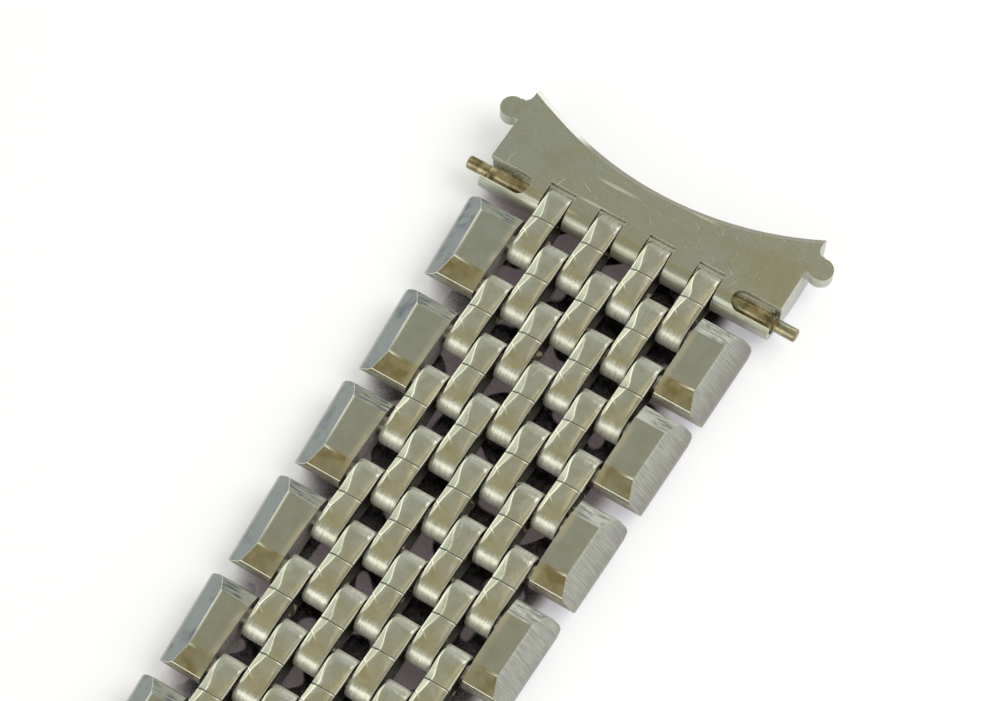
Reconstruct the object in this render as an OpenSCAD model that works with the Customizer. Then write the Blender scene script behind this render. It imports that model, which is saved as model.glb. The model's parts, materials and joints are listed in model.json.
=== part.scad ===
// Steel watch bracelet of folded brick links with hollow end pieces and a folding clasp.
// It lies flat with its wrist side up. X runs across, Y along, and the photographed end is +Y.

/* [Links] */
// Distance from one hinge pin to the next
pin_pitch = 3.2; // [3.1:0.05:3.3]
// Thickness of a link from wrist side to dial side
link_t = 1.9; // [1.86:0.01:1.94]
// Thickness of the strip that a small link is folded from
strip_t = 0.33; // [0.3:0.01:0.34]
// Width of a small folded link
link_w = 1.46; // [1.3:0.01:1.48]
// Spacing of the seven columns of small links
col_pitch = 1.55; // [1.52:0.01:1.58]
// Width of the slit where the two ends of a folded strip meet
seam_w = 0.07; // [0.04:0.01:0.12]
// Radial play of a link on its pin
pin_play = 0.04; // [0.02:0.01:0.06]
// Radial gap round a pin that is pressed or peened in its hole
press_gap = 0.005; // [0.003:0.001:0.01]

/* [Side links] */
// Half width of the bracelet at the first row of side links
half_width_end = 8.75; // [8.6:0.05:8.8]
// Loss of half width from one row of side links to the next
taper_step = 0.14; // [0:0.01:0.15]
// Half width at the clasp
half_width_clasp = 7.65; // [7.6:0.05:7.65]
// Slant of a side link's outer edge, in degrees
edge_slant = 2.5; // [0:0.5:3]
// Distance of a side link's inner face from the middle
side_x = 5.6; // [5.55:0.01:5.7]
// Width of the bevel along the outer edge
bevel_w = 1.26; // [1:0.01:1.3]
// Depth of that bevel
bevel_d = 1.06; // [0.8:0.01:1.1]

/* [End pieces] */
// Width of an end piece, for lugs 0.1 mm further apart
end_w = 17.9; // [17.8:0.05:18]
// Radius of the edge that fits the watch case
case_r = 19; // [18:0.5:22]
// Distance from the spring bar to the middle of that edge
end_len = 3.4; // [3.2:0.05:3.5]
// Width of a slot for a folded link
slot_w = 1.6; // [1.56:0.01:1.62]
// How far a slot runs past the spring bar
slot_len = 0.8; // [0.78:0.01:0.84]
// Distance from the middle to the round end of a side notch
notch_x = 6.35; // [6:0.05:6.6]
// Radius of the round lobes beside the lugs
lobe_r = 0.7; // [0.6:0.01:0.7]

/* [Spring bars] */
// Length of an end spring bar's tube
bar_len = 17.8; // [17.6:0.05:17.85]
// Distance that a tip stands out of the tube
bar_reach = 1.4; // [1.2:0.05:1.5]
// Radius of the tips
tip_r = 0.38; // [0.34:0.01:0.39]

/* [Clasp] */
// Distance from the middle of the clasp to the last hinge on each side
clasp_y = 15.9; // [15.9:0.1:16.5]
// Width of the cover
cover_w = 16.6; // [16.5:0.05:17]
// Height of the cover's side walls
cover_h = 3.1; // [2.9:0.1:3.6]
// Thickness of the cover's floor
floor_t = 0.55; // [0.5:0.01:0.57]
// Thickness of the cover's side walls
wall_t = 0.5; // [0.4:0.05:0.55]
// Thickness of the two folding blades
blade_t = 0.5; // [0.4:0.05:0.5]
// Spacing of the holes that set the bracelet's length
hole_step = 2.4; // [2:0.1:2.5]

/* [Hidden] */
$fn = 48;
half_rows = 19;
mid_z = floor_t + 0.1 + link_t / 2;
bar_y = clasp_y + half_rows * pin_pitch;
r_roll = link_t / 2;
r_loop = r_roll - strip_t;
pin_r = r_loop - pin_play;
cover_lo = -14.8;
cover_hi = clasp_y + 1.1;
fold_pin_r = 0.4;
h1_y = -12.9;
h1_z = floor_t + 0.74;
h1_r = 0.66;
h2_y = 5.8;
blade_top = mid_z + r_roll;
h2_r = 0.75;
h2_z = blade_top - h2_r;
low_top = h2_z - h2_r + blade_t;
dip_y = 1.9;
steel = [0.72, 0.71, 0.64];
bright = [0.80, 0.79, 0.74];
brassy = [0.66, 0.60, 0.44];

// Half width of the bracelet at row k, which narrows from the end piece to the clasp
function half_width(k) = max(half_width_clasp, half_width_end - taper_step * (k / 2 - 1));

// Point where a line from p touches a circle of radius r about the origin, on its lower side
function touch(p, r) =
    let (a = atan2(p[1], p[0]) - acos(r / norm(p)))
    [r * cos(a), r * sin(a)];

// Turns a side view, drawn as Y and Z, into a solid of width w across X
module across(w, x = 0) {
    translate([x - w / 2, 0, 0])
        rotate([90, 0, 90])
            linear_extrude(w)
                children();
}

module rod(r, x0, x1) {
    translate([x0, 0, 0])
        rotate([0, 90, 0])
            cylinder(r = r, h = x1 - x0);
}

// One half of the bracelet is drawn from its spring bar, towards -Y
module north() {
    translate([0, bar_y, mid_z])
        children();
}

module south() {
    mirror([0, 1, 0])
        north()
            children();
}

// Side view of a stadium with its round ends on two pins
module stadium(r, len) {
    square([len, 2 * r], center = true);
    for (s = [-1, 1])
        translate([s * len / 2, 0])
            circle(r);
}

// Strip folded round two pins, with its ends butted in the middle of the wrist side
module folded_link(x) {
    across(link_w, x)
        difference() {
            stadium(r_roll, pin_pitch);
            stadium(r_loop, pin_pitch);
            translate([0, r_roll - strip_t / 2])
                square([seam_w, 2 * strip_t], center = true);
        }
}

// Side view of a side link: flat top, a facet at each end and a rolled end below it
module side_profile() {
    stadium(r_roll, pin_pitch);
    for (s = [0, 1])
        mirror([s, 0])
            polygon([
                [0, r_roll],
                [pin_pitch / 2, r_roll],
                [pin_pitch / 2 + 0.84, r_roll - 0.38],
                [pin_pitch / 2 + r_roll, r_roll - 0.6],
                [pin_pitch / 2 + r_roll, 0],
                [0, 0]
            ]);
}

// Space outside a side link's edge, with the wide bevel on the wrist side and a narrow one below
module side_cut(k) {
    translate([half_width(k), 0, 0])
        rotate([0, 0, -edge_slant]) {
            translate([0, -5, -5])
                cube([5, 10, 10]);
            translate([-bevel_w, -5, r_roll])
                rotate([0, atan(bevel_d / bevel_w), 0])
                    translate([-1, 0, 0])
                        cube([6, 10, 4]);
            translate([-0.3, 0, -r_roll])
                rotate([0, -45, 0])
                    translate([-2, -5, -4])
                        cube([6, 10, 4]);
        }
}

// Right-hand side link of row k, with a blind hole for each pin
module side_link(k) {
    outer = half_width(k) + 0.2;
    difference() {
        across(outer - side_x, (outer + side_x) / 2)
            side_profile();
        side_cut(k);
        for (s = [-1, 1])
            translate([0, s * pin_pitch / 2, 0])
                rod(pin_r + press_gap, side_x - 1, half_width(k) - 1.05);
    }
}

// Row of four folded links that turn on the pins of both neighbours
module inner_row(k) {
    translate([0, -(k - 0.5) * pin_pitch, 0])
        for (c = [-3, -1, 1, 3])
            folded_link(c * col_pitch);
}

// Row of three folded links between two side links, which hold the two pins
module outer_row(k) {
    translate([0, -(k - 0.5) * pin_pitch, 0]) {
        for (c = [-2, 0, 2])
            folded_link(c * col_pitch);
        for (s = [0, 1])
            mirror([s, 0, 0])
                side_link(k);
        for (s = [-1, 1])
            translate([0, s * pin_pitch / 2, 0])
                rod(pin_r, -half_width(k) + 1.1, half_width(k) - 1.1);
    }
}

module row(k) {
    color(k % 2 == 1 ? bright : steel)
        if (k % 2 == 1)
            inner_row(k);
        else
            outer_row(k);
}

// Side view of the end piece's sheet, rolled round the spring bar and open at the case
module end_shell_outer() {
    p = [dip_y, -mid_z];
    circle(r_roll);
    polygon([[0, 0], [0, r_roll], [7, r_roll], [7, -mid_z], p, touch(p, r_roll)]);
}

module end_shell_inner() {
    p = [dip_y, -mid_z];
    t = touch(p, r_roll);
    bend = atan2(t[1] - p[1], p[0] - t[0]);
    q = [dip_y + strip_t * tan(bend / 2), strip_t - mid_z];
    circle(r_loop);
    polygon([[0, 0], [0, r_loop], [9, r_loop], [9, strip_t - mid_z], q, t * r_loop / r_roll]);
}

// Plan of the round lobe beside a lug, with its neck
module lobe_plan() {
    difference() {
        union() {
            translate([end_w / 2 + 0.65, 3.76])
                circle(lobe_r);
            translate([end_w / 2 - 0.5, 3.2])
                square([1, 1.3]);
            translate([end_w / 2 - 0.5, 4.3])
                square([0.72, 0.6]);
        }
        translate([end_w / 2 + 0.42, 4.9])
            circle(0.4);
    }
}

// Notch that leaves the spring bar open to a tool
module notch_plan() {
    translate([notch_x + 0.6, -0.1]) {
        circle(0.6);
        translate([0, -0.6])
            square([4, 1.2]);
    }
}

// Hollow end piece with knuckles between the first row's links
module end_piece() {
    color(steel)
        difference() {
            union() {
                across(end_w)
                    end_shell_outer();
                for (s = [0, 1])
                    mirror([s, 0, 0])
                        translate([0, 0, r_roll - 0.8])
                            linear_extrude(0.8)
                                lobe_plan();
            }
            across(end_w - 0.7)
                end_shell_inner();
            across(end_w + 1)
                intersection() {
                    end_shell_inner();
                    translate([-2, -1])
                        square([2.65, 2]);
                }
            translate([0, end_len + case_r, -5]) {
                cylinder(r = case_r, h = 10, $fn = 96);
                translate([0, 0, 5 + r_roll - 0.3])
                    cylinder(r1 = case_r, r2 = case_r + 0.7, h = 0.6, $fn = 96);
            }
            for (c = [-3, -1, 1, 3])
                translate([c * col_pitch - slot_w / 2, -2, -3])
                    cube([slot_w, 2 + slot_len, 6]);
            for (s = [0, 1])
                mirror([s, 0, 0])
                    linear_extrude(3)
                        notch_plan();
        }
}

// Tube of a spring bar with ends drawn in over the tips
module bar_tube(len) {
    color(brassy)
        difference() {
            union() {
                rod(pin_r, -len / 2 + 0.45, len / 2 - 0.45);
                for (s = [0, 1])
                    mirror([s, 0, 0])
                        translate([len / 2 - 0.45, 0, 0])
                            rotate([0, 90, 0])
                                cylinder(r1 = pin_r, r2 = pin_r - 0.12, h = 0.45);
            }
            rod(pin_r - 0.12, -len / 2 + 0.6, len / 2 - 0.6);
            rod(tip_r + 0.02, -len, len);
        }
}

// Right-hand tip of a spring bar, with the head that keeps it in the tube
module bar_tip(len, reach) {
    color(brassy) {
        rod(tip_r, len / 2 + 0.1, len / 2 + reach - 0.08);
        translate([len / 2 + reach - 0.08, 0, 0])
            rotate([0, 90, 0])
                cylinder(r1 = tip_r, r2 = tip_r - 0.08, h = 0.08);
        translate([len / 2 - 1, 0, 0])
            rotate([0, 90, 0]) {
                cylinder(r1 = tip_r - 0.04, r2 = tip_r, h = 1.1);
                cylinder(r1 = pin_r - 0.17, r2 = pin_r - 0.13, h = 0.35);
            }
    }
}

// Coil spring between the heads of the two tips
module bar_spring(len, turns) {
    run = len - 2.1;
    wire = 0.07;
    rad = pin_r - 0.14 - wire;
    steps = turns * 9;
    ring = [for (i = [0 : steps])
        let (a = i * 40, x = wire - run / 2 + (run - 2 * wire) * i / steps)
            for (j = [0 : 3])
                let (w = j * 90 + 45, q = rad + wire * cos(w))
                    [x + wire * sin(w), q * cos(a), q * sin(a)]];
    sides = [for (i = [0 : steps - 1])
        for (j = [0 : 3])
            let (k = (j + 1) % 4, a = i * 4 + j, b = i * 4 + k)
                each [[a, a + 4, b], [b, a + 4, b + 4]]];
    caps = [[0, 1, 2], [0, 2, 3], [steps * 4 + 2, steps * 4 + 1, steps * 4], [steps * 4 + 3, steps * 4 + 2, steps * 4]];
    color(bright)
        polyhedron(ring, concat(sides, caps), convexity = 8);
}

// Side outline of the cover, with round upper corners
module cover_side() {
    r = 1.3;
    translate([cover_lo, 0])
        square([cover_hi - cover_lo, cover_h - r]);
    translate([cover_lo + r, 0])
        square([cover_hi - cover_lo - 2 * r, cover_h]);
    for (y = [cover_lo + r, cover_hi - r])
        translate([y, cover_h - r])
            circle(r);
}

// Small round dimple on the inside of a side wall, over the inner blade's ear
module catch_dimple() {
    translate([cover_w / 2 - wall_t + 0.05, -9, mid_z + r_roll + 0.25])
        sphere(0.25);
}

// Folded sheet cover with length holes, lift lip and two catch dimples
module clasp_cover() {
    color(steel) {
        difference() {
            union() {
                across(cover_w)
                    cover_side();
                translate([-3, cover_lo - 1.1, 0])
                    cube([6, 1.6, 0.35]);
            }
            translate([wall_t - cover_w / 2, -40, floor_t])
                cube([cover_w - 2 * wall_t, 80, 10]);
            for (s = [0, 1])
                mirror([s, 0, 0])
                    translate([cover_w / 2, -40, 0.4])
                        rotate([0, 45, 0])
                            translate([0, 0, -3])
                                cube([3, 80, 3]);
            for (i = [0 : 3])
                translate([0, clasp_y - i * hole_step, mid_z])
                    rod(tip_r + 0.04, -10, 10);
            translate([0, h1_y, h1_z])
                rod(fold_pin_r + press_gap, -10, 10);
        }
        for (s = [0, 1])
            mirror([s, 0, 0])
                catch_dimple();
    }
}

module clasp_cover_pin() {
    color(bright)
        translate([0, h1_y, h1_z])
            rod(fold_pin_r, -cover_w / 2, cover_w / 2);
}

// Blade hinged to the cover near its lip, with a long window
module clasp_outer_blade() {
    color(steel)
        difference() {
            union() {
                translate([-5.5, h1_y, low_top - blade_t])
                    cube([11, h2_y - h1_y, blade_t]);
                translate([0, h1_y, h1_z])
                    rod(h1_r, -6, 6);
                translate([0, h2_y, h2_z])
                    rod(h2_r, -5.5, 5.5);
            }
            translate([-3.2, h2_y - h2_r - 0.15, 0])
                cube([6.4, 3, 5]);
            translate([0, h1_y, h1_z])
                rod(fold_pin_r + 0.04, -9, 9);
            translate([0, h2_y, h2_z])
                rod(fold_pin_r + press_gap, -9, 9);
            for (y = [-8, 1])
                translate([0, y, 0])
                    cylinder(r = 2, h = 4);
            translate([-2, -8, 0])
                cube([4, 9, 4]);
        }
}

module clasp_fold_pin() {
    color(bright)
        translate([0, h2_y, h2_z])
            rod(fold_pin_r, -5.5, 5.5);
}

// Blade on the wrist side, with knuckles for the last row and ears under the catch dimples
module clasp_inner_blade() {
    color(steel)
        difference() {
            union() {
                translate([-5, -clasp_y, blade_top - blade_t])
                    cube([10, h2_y + clasp_y, blade_t]);
                translate([0.3 - cover_w / 2 + wall_t, -10.2, blade_top - blade_t])
                    cube([cover_w - 2 * wall_t - 0.6, 2.4, blade_t]);
                translate([0, h2_y, h2_z])
                    rod(h2_r, -3.1, 3.1);
                translate([0, -clasp_y, mid_z])
                    rod(r_roll, -2 * col_pitch - link_w / 2, 2 * col_pitch + link_w / 2);
            }
            for (s = [0, 1])
                mirror([s, 0, 0])
                    translate([3.1, h2_y - h2_r - 0.1, 0])
                        cube([3, 3, 5]);
            for (c = [-3, -1, 1, 3])
                translate([c * col_pitch - slot_w / 2, -clasp_y - 2, 0])
                    cube([slot_w, 3.1, 5]);
            translate([0, h2_y, h2_z])
                rod(fold_pin_r + 0.04, -9, 9);
            translate([0, -clasp_y, mid_z])
                rod(pin_r + press_gap, -9, 9);
        }
}

// Pin of the last row, with a head at each end
module clasp_end_pin() {
    color(bright)
        translate([0, -clasp_y, mid_z]) {
            rod(pin_r, -5.7, 5.7);
            for (s = [0, 1])
                mirror([s, 0, 0])
                    rod(pin_r + 0.2, 5.48, 5.75);
        }
}

module clasp_bar() {
    translate([0, clasp_y, mid_z])
        children();
}

module left() {
    mirror([1, 0, 0])
        children();
}

clasp_bar_len = cover_w - 2 * wall_t - 0.2;
clasp_reach = wall_t + 0.1;

north() end_piece();  // north_end_piece
north() bar_tube(bar_len);  // north_bar_tube
north() left() bar_tip(bar_len, bar_reach);  // north_bar_tip_left
north() bar_tip(bar_len, bar_reach);  // north_bar_tip_right
north() bar_spring(bar_len, 14);  // north_bar_spring
north() row(1);  // north_row_01
north() row(2);  // north_row_02
north() row(3);  // north_row_03
north() row(4);  // north_row_04
north() row(5);  // north_row_05
north() row(6);  // north_row_06
north() row(7);  // north_row_07
north() row(8);  // north_row_08
north() row(9);  // north_row_09
north() row(10);  // north_row_10
north() row(11);  // north_row_11
north() row(12);  // north_row_12
north() row(13);  // north_row_13
north() row(14);  // north_row_14
north() row(15);  // north_row_15
north() row(16);  // north_row_16
north() row(17);  // north_row_17
north() row(18);  // north_row_18
north() row(19);  // north_row_19
clasp_cover();
clasp_cover_pin();
clasp_outer_blade();
clasp_fold_pin();
clasp_inner_blade();
clasp_end_pin();
clasp_bar() bar_tube(clasp_bar_len);  // clasp_bar_tube
clasp_bar() left() bar_tip(clasp_bar_len, clasp_reach);  // clasp_bar_tip_left
clasp_bar() bar_tip(clasp_bar_len, clasp_reach);  // clasp_bar_tip_right
clasp_bar() bar_spring(clasp_bar_len, 12);  // clasp_bar_spring
south() row(19);  // south_row_19
south() row(18);  // south_row_18
south() row(17);  // south_row_17
south() row(16);  // south_row_16
south() row(15);  // south_row_15
south() row(14);  // south_row_14
south() row(13);  // south_row_13
south() row(12);  // south_row_12
south() row(11);  // south_row_11
south() row(10);  // south_row_10
south() row(9);  // south_row_09
south() row(8);  // south_row_08
south() row(7);  // south_row_07
south() row(6);  // south_row_06
south() row(5);  // south_row_05
south() row(4);  // south_row_04
south() row(3);  // south_row_03
south() row(2);  // south_row_02
south() row(1);  // south_row_01
south() end_piece();  // south_end_piece
south() bar_tube(bar_len);  // south_bar_tube
south() left() bar_tip(bar_len, bar_reach);  // south_bar_tip_left
south() bar_tip(bar_len, bar_reach);  // south_bar_tip_right
south() bar_spring(bar_len, 14);  // south_bar_spring
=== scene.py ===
import json
import math

import bmesh
import bpy
import numpy as np
from mathutils import Euler, Matrix, Vector


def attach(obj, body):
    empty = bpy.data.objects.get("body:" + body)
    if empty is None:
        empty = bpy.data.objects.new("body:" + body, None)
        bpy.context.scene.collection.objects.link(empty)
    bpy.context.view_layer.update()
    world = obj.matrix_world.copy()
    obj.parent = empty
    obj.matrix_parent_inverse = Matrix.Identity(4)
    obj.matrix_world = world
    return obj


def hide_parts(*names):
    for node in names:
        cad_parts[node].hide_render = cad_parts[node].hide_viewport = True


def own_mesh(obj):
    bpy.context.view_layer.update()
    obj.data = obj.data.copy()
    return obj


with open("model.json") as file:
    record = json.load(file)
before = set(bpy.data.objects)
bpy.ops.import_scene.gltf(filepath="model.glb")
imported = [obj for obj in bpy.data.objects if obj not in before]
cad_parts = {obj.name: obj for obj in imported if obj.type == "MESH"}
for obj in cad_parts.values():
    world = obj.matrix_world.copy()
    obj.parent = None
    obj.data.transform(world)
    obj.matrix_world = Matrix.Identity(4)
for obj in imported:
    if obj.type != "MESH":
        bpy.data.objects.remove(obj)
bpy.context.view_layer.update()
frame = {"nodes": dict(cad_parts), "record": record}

# Camera
# The bracelet is seen from above its wrist side, from the right and a little behind the first rows.
# The long lens looks at the end piece, and the rest of the bracelet runs out of the picture.

MM = 0.001
LENS = 108
SENSOR = 36
NEAREST = 0.01
CAMERA_PLACE = Vector((34.804, 4.619, 143.188)) * MM
CAMERA_TURN = (27.3760, -0.4414, 31.6167)

camera_data = bpy.data.cameras.new("camera")
camera_data.lens = LENS
camera_data.sensor_width = SENSOR
camera_data.clip_start = NEAREST
camera = bpy.data.objects.new("camera", camera_data)
camera_turn = Euler([math.radians(angle) for angle in CAMERA_TURN])
camera.matrix_world = Matrix.Translation(CAMERA_PLACE) @ camera_turn.to_matrix().to_4x4()
bpy.context.scene.collection.objects.link(camera)
bpy.context.scene.camera = camera
bpy.context.scene.view_settings.view_transform = "Standard"

# Room
# White walls on the left and in front, a dark ceiling and a broad window on the right.
# The polished links show the room, so its tones are what gives the metal its greys and browns.


class Signal:
    """One output of a shader node. Sums and products of signals add their own Math nodes."""

    def __init__(self, tree, socket):
        self.tree = tree
        self.socket = socket

    def add(self, kind, settings=None, values=None, output=0):
        """A new node with these settings and socket values, as the signal of one of its outputs."""
        node = self.tree.nodes.new(kind)
        for name, value in (settings or {}).items():
            setattr(node, name, value)
        for name, value in (values or {}).items():
            if isinstance(value, Signal):
                self.tree.links.new(value.socket, node.inputs[name])
            else:
                node.inputs[name].default_value = value
        return Signal(self.tree, node.outputs[output]) if node.outputs else None

    def output(self, name):
        """Another output of the node that this signal comes from."""
        return Signal(self.tree, self.socket.node.outputs[name])

    def axes(self):
        """The X, Y and Z of this vector."""
        x = self.add("ShaderNodeSeparateXYZ", values={0: self})
        return x, x.output("Y"), x.output("Z")

    def maths(self, operation, *values):
        """A Math node on these values."""
        return self.add("ShaderNodeMath", {"operation": operation}, dict(enumerate(values)))

    def __add__(self, other):
        return self.maths("ADD", self, other)

    def __radd__(self, other):
        return self.maths("ADD", other, self)

    def __sub__(self, other):
        return self.maths("SUBTRACT", self, other)

    def __rsub__(self, other):
        return self.maths("SUBTRACT", other, self)

    def __mul__(self, other):
        return self.maths("MULTIPLY", self, other)

    def __rmul__(self, other):
        return self.maths("MULTIPLY", other, self)

    def __abs__(self):
        return self.maths("ABSOLUTE", self)

    def most(self, other):
        """The greater of the two."""
        return self.maths("MAXIMUM", self, other)

    def span(self, low, high, to_low=0.0, to_high=1.0):
        """Smooth step of this value from low to high."""
        values = {0: self, 1: low, 2: high, 3: to_low, 4: to_high}
        return self.add("ShaderNodeMapRange", {"interpolation_type": "SMOOTHSTEP"}, values)

    def tint(self, first, second):
        """Colour that goes from first to second as this value goes from 0 to 1."""
        settings = {"data_type": "RGBA"}
        return self.add("ShaderNodeMix", settings, {0: self, 6: first, 7: second}, output=2)


def start_nodes(owner):
    """Empties a material's or world's node tree and returns a signal to add nodes from."""
    owner.use_nodes = True
    owner.node_tree.nodes.clear()
    return Signal(owner.node_tree, None)


WHITE = (1, 1, 1, 1)
ROOM_GREY = (0.43, 0.435, 0.365, 1)
ROOM_SIDES = (
    # direction, half angle where it is full, half angle where it ends, colour
    ((-0.20, 0.90, 0.30), 10, 36, (0.60, 0.62, 0.56, 1)),
    ((0.92, 0.36, 0.30), 24, 46, (0.74, 0.74, 0.70, 1)),
    ((0.30, 0.94, 0.14), 10, 30, (1.00, 0.96, 0.94, 1)),
    ((0.10, 0.70, 0.71), 5, 16, (1.70, 1.60, 1.58, 1)),
    ((0.05, 0.38, 0.92), 3, 13, (0.66, 0.60, 0.44, 1)),
    ((-0.60, 0.42, 0.68), 6, 20, (0.62, 0.70, 0.64, 1)),
    ((-0.80, 0.40, 0.47), 16, 27, (1.15, 1.16, 1.02, 1)),
    ((-0.22, -0.06, 0.97), 12, 26, (0.46, 0.42, 0.27, 1)),
    ((-0.18, -0.97, 0.10), 28, 46, (1.70, 1.70, 1.56, 1)),
)

world = bpy.data.worlds.new("room")
bpy.context.scene.world = world
room = start_nodes(world)
looking = room.add("ShaderNodeTexCoord", output="Generated")
tone = ROOM_GREY
for direction, full, end, colour in ROOM_SIDES:
    aim = {0: looking, 1: Vector(direction).normalized()}
    facing = room.add("ShaderNodeVectorMath", {"operation": "DOT_PRODUCT"}, aim, output="Value")
    mask = facing.span(math.cos(math.radians(end)), math.cos(math.radians(full)))
    tone = mask.tint(tone, colour)
tone = room.add("ShaderNodeLightPath", output="Is Camera Ray").tint(tone, WHITE)
sky = room.add("ShaderNodeBackground", values={"Color": tone, "Strength": 1.0})
room.add("ShaderNodeOutputWorld", values={"Surface": sky})

LAMP_PLACE = Vector((0.34, 0.24, 0.40))
LAMP_AIM = Vector((0, 0.06, 0))
LAMP_SIZE = 0.52
LAMP_POWER = 2.9

lamp_data = bpy.data.lights.new("window", "AREA")
lamp_data.shape = "DISK"
lamp_data.size = LAMP_SIZE
lamp_data.energy = LAMP_POWER
lamp = bpy.data.objects.new("window", lamp_data)
lamp.location = LAMP_PLACE
lamp.rotation_euler = (LAMP_PLACE - LAMP_AIM).to_track_quat("Z", "Y").to_euler()
lamp.visible_glossy = False
bpy.context.scene.collection.objects.link(lamp)

# Table
# A white table top. Its colour and glow are painted dark from ambient occlusion where the links
# close it in, with a few painted mauve patches of stray light, and towards the window, on the
# right, the gaps between the side links are painted lavender and lighter.

TABLE_HALF = 3.0
TABLE_DROP = 0.00005
TABLE_COLOUR = (0.50, 0.50, 0.515, 1)
# The dark, lavender and patch colours below paint shade and stray light onto the table.
TABLE_PAINTED_DARK = (0.010, 0.008, 0.008, 1)
TABLE_PAINTED_SHADE = (0.44, 0.44, 0.60, 1)
TABLE_LIFT = 0.42
PAINTED_PATCH_COLOUR = (1, 0.79, 0.81, 1)
PAINTED_PATCH_LIFT = 0.075
GLOSSY_LIFT = 0.105
NO_LIGHT = (0, 0, 0, 1)
SHADE_REACH = 0.0060
WINDOW_SIDE = (0.0056, 0.0068)
WINDOW_SHARE = 0.85


def noise(place, scale, detail=0.0, roughness=0.5):
    """Noise at this place, with about this many lumps to its unit of length."""
    values = {"Vector": place, "Scale": scale, "Detail": detail, "Roughness": roughness}
    return place.add("ShaderNodeTexNoise", values=values)


table_mesh = bpy.data.meshes.new("table")
corners = np.array([(-1, -1), (1, -1), (1, 1), (-1, 1)]) * TABLE_HALF
table_mesh.from_pydata([(x, y, -TABLE_DROP) for x, y in corners], [], [(0, 1, 2, 3)])
table = bpy.data.objects.new("table", table_mesh)
bpy.context.scene.collection.objects.link(table)
table_paint = bpy.data.materials.new("table_white")
paper = start_nodes(table_paint)
camera_ray = paper.add("ShaderNodeLightPath", output="Is Camera Ray")
glossy_ray = camera_ray.output("Is Glossy Ray")
under = paper.add(
    "ShaderNodeAmbientOcclusion", {"samples": 8}, {"Distance": SHADE_REACH}, output="AO"
)
table_place = paper.add("ShaderNodeTexCoord", output="Object")
painted_lit_side = table_place.axes()[0].span(*WINDOW_SIDE)
# Painted shade and light: occlusion darkens the colour and glow under and between the links, noise
# paints mauve light patches in the gaps, and the right side is painted lavender and lighter towards
# the window.
closed_part = 1 - under.span(0.17, 0.52)
open_part = 1 - closed_part * (1 - painted_lit_side * WINDOW_SHARE)
gap = under.span(0.40, 0.26) * (1 - painted_lit_side)
patches = noise(table_place, 560.0).span(0.52, 0.57)
lift = open_part * (1 - gap * (1 - patches)) * TABLE_LIFT + gap * patches * PAINTED_PATCH_LIFT
lift = camera_ray * lift + glossy_ray * (open_part + 1) * GLOSSY_LIFT
open_tone = (closed_part * painted_lit_side).tint(TABLE_COLOUR, TABLE_PAINTED_SHADE)
sheet = paper.add(
    "ShaderNodeBsdfPrincipled",
    values={
        "Base Color": open_part.tint(TABLE_PAINTED_DARK, open_tone),
        "Roughness": 0.9,
        "Specular IOR Level": 0.0,
        "Emission Color": lift.tint(NO_LIGHT, open_part.tint(PAINTED_PATCH_COLOUR, WHITE)),
        "Emission Strength": 1.0,
    },
)
paper.add("ShaderNodeOutputMaterial", values={"Surface": sheet})
table_mesh.materials.append(table_paint)

# Small folded links
# Each is a strip of steel folded round two pins, with its ends butted on the wrist side.
# Folding leaves the flats pillowed: they drop at their edges, and the bends keep a satin grain.

# Sizes from here on are in millimetres and angles in degrees, where nothing else is said.
# The photographed half and its mirrored copy, with the sign that Y has there:
HALVES = {"north": 1, "south": -1}
PITCH = 3.2
HALF_T = 0.95
STRIP_T = 0.33
LINK_W = 1.46
COLUMN = 1.55
SEAM = 0.035
SEAM_OFF = 0.09
BAR_Y = 76.7
MID_Z = 1.6
ROWS = 19
FLAT = (SEAM / 2, 0.055, 0.09, 0.30, 0.68, 1.08, 1.38)
BEND = (0, 11, 22, 33, 44, 56, 70, 88, 112, 144, 180)
# The crease beside the left edge, on each half: distance from the seam where it starts to slant and
# where it stops, and how far across it is at both.
FAR_CREASE = (0.2, 1.6, -0.27, -0.60)
NEAR_CREASE = (0.0, 1.1, -0.33, -0.50)
# How steeply the flat drops beyond its creases, how wide and how deep its edges are rounded, from
# left to right, how far the strip's ends and the two halves sink, and where they are lowest.
LEFT_SLOPE, RIGHT_SLOPE = 21, 6
EDGE_ROUND = 0.012
EDGE_DROP = (0.09, 0.03, 0.03, 0.08)
SEAM_DROP = 0.018
FAR_SAG, NEAR_SAG = 0.02, 0.055
LOW_BEND_END = 1.62


def grid_faces(rows, columns):
    """Quads of a grid of points whose columns close into a ring."""
    row, column = np.meshgrid(np.arange(rows - 1), np.arange(columns), indexing="ij")
    start, start_of_next, beside = row * columns, (row + 1) * columns, (column + 1) % columns
    quads = [start + column, start + beside, start_of_next + beside, start_of_next + column]
    return np.stack(quads, -1).reshape(-1, 4)


def mesh_from(name, points, faces, marks=None, sharp=40):
    """Mesh from points in millimetres and faces, which are turned over if they face inwards.
    Each named mark is a value at every point, for the material to read."""
    volume = 0
    for face in np.unique([len(f) for f in faces]):
        some = points[np.array([f for f in faces if len(f) == face])]
        for i in range(1, face - 1):
            volume += np.einsum("ij,ij->", some[:, 0], np.cross(some[:, i], some[:, i + 1]))
    if volume < 0:
        faces = [f[::-1] for f in faces]
    mesh = bpy.data.meshes.new(name)
    mesh.from_pydata((points * MM).tolist(), [], [list(map(int, f)) for f in faces])
    mesh.validate()
    mesh.shade_smooth()
    mesh.set_sharp_from_angle(angle=math.radians(sharp))
    for label, values in (marks or {}).items():
        layer = mesh.attributes.new(label, "FLOAT", "POINT")
        layer.data.foreach_set("value", np.asarray(values, np.float32))
    return mesh


body_of = {n: b for b, ns in frame["record"]["behaviour"]["bodies"].items() for n in ns}


def put(name, mesh, material, node):
    """The piece that shows this mesh. It stands for a CAD node and moves with that node's body."""
    thing = bpy.data.objects.new(name, mesh)
    bpy.context.scene.collection.objects.link(thing)
    mesh.materials.append(material)
    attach(thing, body_of[node])
    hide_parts(node)
    return thing


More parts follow.
